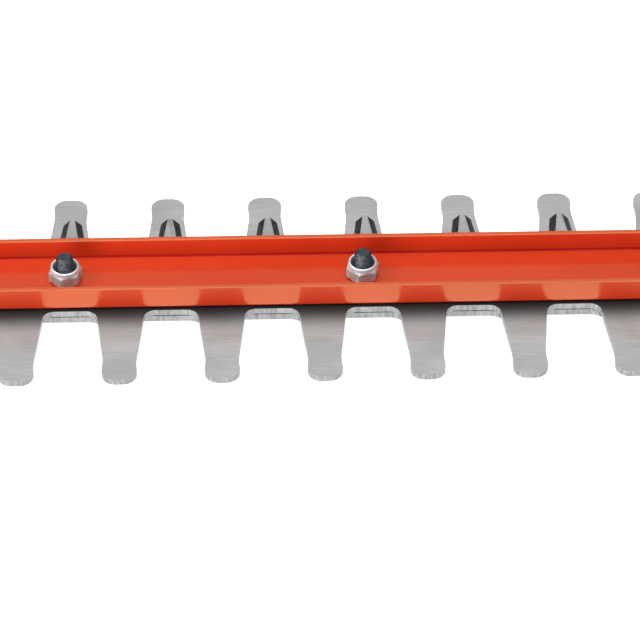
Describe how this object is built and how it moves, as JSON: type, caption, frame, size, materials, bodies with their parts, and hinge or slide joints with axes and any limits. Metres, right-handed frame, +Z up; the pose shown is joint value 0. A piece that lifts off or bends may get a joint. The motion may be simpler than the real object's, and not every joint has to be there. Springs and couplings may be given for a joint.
{
  "type": "hedge trimmer",
  "caption": "Cordless hedge trimmer with a long double-sided reciprocating cutter bar, red guide channel, looped front handle, rear D-grip with trigger and slide-on battery.",
  "frame": {"origin": "on the flat underside of the gearcase, straight below the axis of the drive gear", "axes": "+X along the cutter bar from the powerhead to its tip, +Z up, +Y to the tool's left"},
  "size_m": [0.9328, 0.1663, 0.1999],
  "materials": {
    "blade_steel": "ground and polished steel, fine grain along the bar",
    "red_paint": "glossy red-orange paint",
    "zinc": "bright zinc plate",
    "black_steel": "blackened steel, slightly worn",
    "steel": "machined steel",
    "cast_aluminium": "bead-blasted die casting",
    "black_plastic": "fine-textured moulded plastic",
    "grey_plastic": "fine-textured moulded plastic",
    "soft_grip": "soft moulded grip",
    "red_plastic": "satin moulded plastic in the bar's red-orange",
    "cell_wrap": null,
    "board_green": "circuit board"
  },
  "bodies": {
    "tool": {"gearcase_body": "cast_aluminium", "gearcase_cover": "cast_aluminium", "guide_channel": "red_paint", "blade_bolt_1": "black_steel", "blade_bolt_2": "black_steel", "blade_bolt_3": "black_steel", "blade_bolt_4": "black_steel", "blade_bolt_5": "black_steel", "blade_nut_1": "zinc", "blade_nut_2": "zinc", "blade_nut_3": "zinc", "blade_nut_4": "zinc", "blade_nut_5": "zinc", "blade_spacer_1": "steel", "blade_spacer_2": "steel", "blade_spacer_3": "steel", "blade_spacer_4": "steel", "blade_spacer_5": "steel", "bar_screw_1": "black_steel", "bar_screw_2": "black_steel", "lower_bearing": "black_steel", "upper_bearing": "black_steel", "motor_front_plate": "black_steel", "motor_can": "steel", "housing_left": "red_plastic", "housing_right": "red_plastic", "housing_screw_1": "black_steel", "housing_screw_2": "black_steel", "housing_screw_3": "black_steel", "housing_screw_4": "black_steel", "trigger_pin": "steel", "power_switch": "black_plastic", "trigger_spring": "steel", "lock_off_spring": "steel", "lock_off_seat": "grey_plastic", "front_handle": "black_plastic", "hand_guard": "grey_plastic", "control_board": "board_green"},
    "gear": {"drive_gear": "steel", "gear_shaft": "black_steel", "lower_cam": "steel", "upper_cam": "steel"},
    "rotor": {"motor_armature": "black_steel", "motor_pinion": "steel", "cooling_fan": "black_plastic"},
    "upper_blade": {"upper_blade": "blade_steel"},
    "lower_blade": {"lower_blade": "blade_steel"},
    "trigger": {"trigger": "black_plastic"},
    "lock_button": {"lock_off_button": "grey_plastic"},
    "switch_bar": {"front_switch_bar": "soft_grip"},
    "battery": {"battery_case": "black_plastic", "battery_rail_plate": "grey_plastic", "battery_cell_1": "cell_wrap", "battery_cell_2": "cell_wrap", "battery_cell_3": "cell_wrap", "battery_cell_4": "cell_wrap", "battery_cell_5": "cell_wrap"},
    "latch": {"battery_latch": "red_plastic"}
  },
  "joints": [
    {"name": "gear_turn", "type": "hinge", "parent": "tool", "child": "gear", "pos_m": [0, 0, 0.024], "axis": [0, 0, 1], "range_deg": [-90, 90]},
    {"name": "rotor_turn", "type": "hinge", "parent": "tool", "child": "rotor", "pos_m": [-0.0375, 0, 0.0482], "axis": [0, 0, 1], "range_deg": [-361, 361]},
    {"name": "upper_blade_slide", "type": "slide", "parent": "tool", "child": "upper_blade", "axis": [1, 0, 0], "range_m": [-0.00851, 0.00851]},
    {"name": "lower_blade_slide", "type": "slide", "parent": "tool", "child": "lower_blade", "axis": [1, 0, 0], "range_m": [-0.00851, 0.00851]},
    {"name": "trigger_pull", "type": "hinge", "parent": "tool", "child": "trigger", "pos_m": [-0.115, 0, 0.106], "axis": [0, 1, 0], "range_deg": [0, 9], "stiffness_Nm_per_rad": 0.15, "springref_deg": -8.59, "deforming": ["trigger_spring"]},
    {"name": "lock_off_press", "type": "slide", "parent": "tool", "child": "lock_button", "axis": [0, 0, -1], "range_m": [0, 0.0035], "stiffness_N_per_m": 150, "springref_m": -0.002, "deforming": ["lock_off_spring"]},
    {"name": "switch_bar_squeeze", "type": "slide", "parent": "tool", "child": "switch_bar", "axis": [0, 0, 1], "range_m": [0, 0.005], "stiffness_N_per_m": 150, "springref_m": -0.003},
    {"name": "battery_slide", "type": "slide", "parent": "tool", "child": "battery", "axis": [0, 0, 1], "range_m": [0, 0.1]},
    {"name": "latch_press", "type": "slide", "parent": "battery", "child": "latch", "axis": [-1, 0, 0], "range_m": [0, 0.005], "stiffness_N_per_m": 150, "springref_m": -0.002}
  ],
  "couplings": [
    {"joint": "rotor_turn", "follows": "gear_turn", "ratio": -4},
    {"joint": "upper_blade_slide", "follows": "gear_turn", "m_per_rad": 0.0054113},
    {"joint": "lower_blade_slide", "follows": "gear_turn", "m_per_rad": -0.0054113}
  ]
}
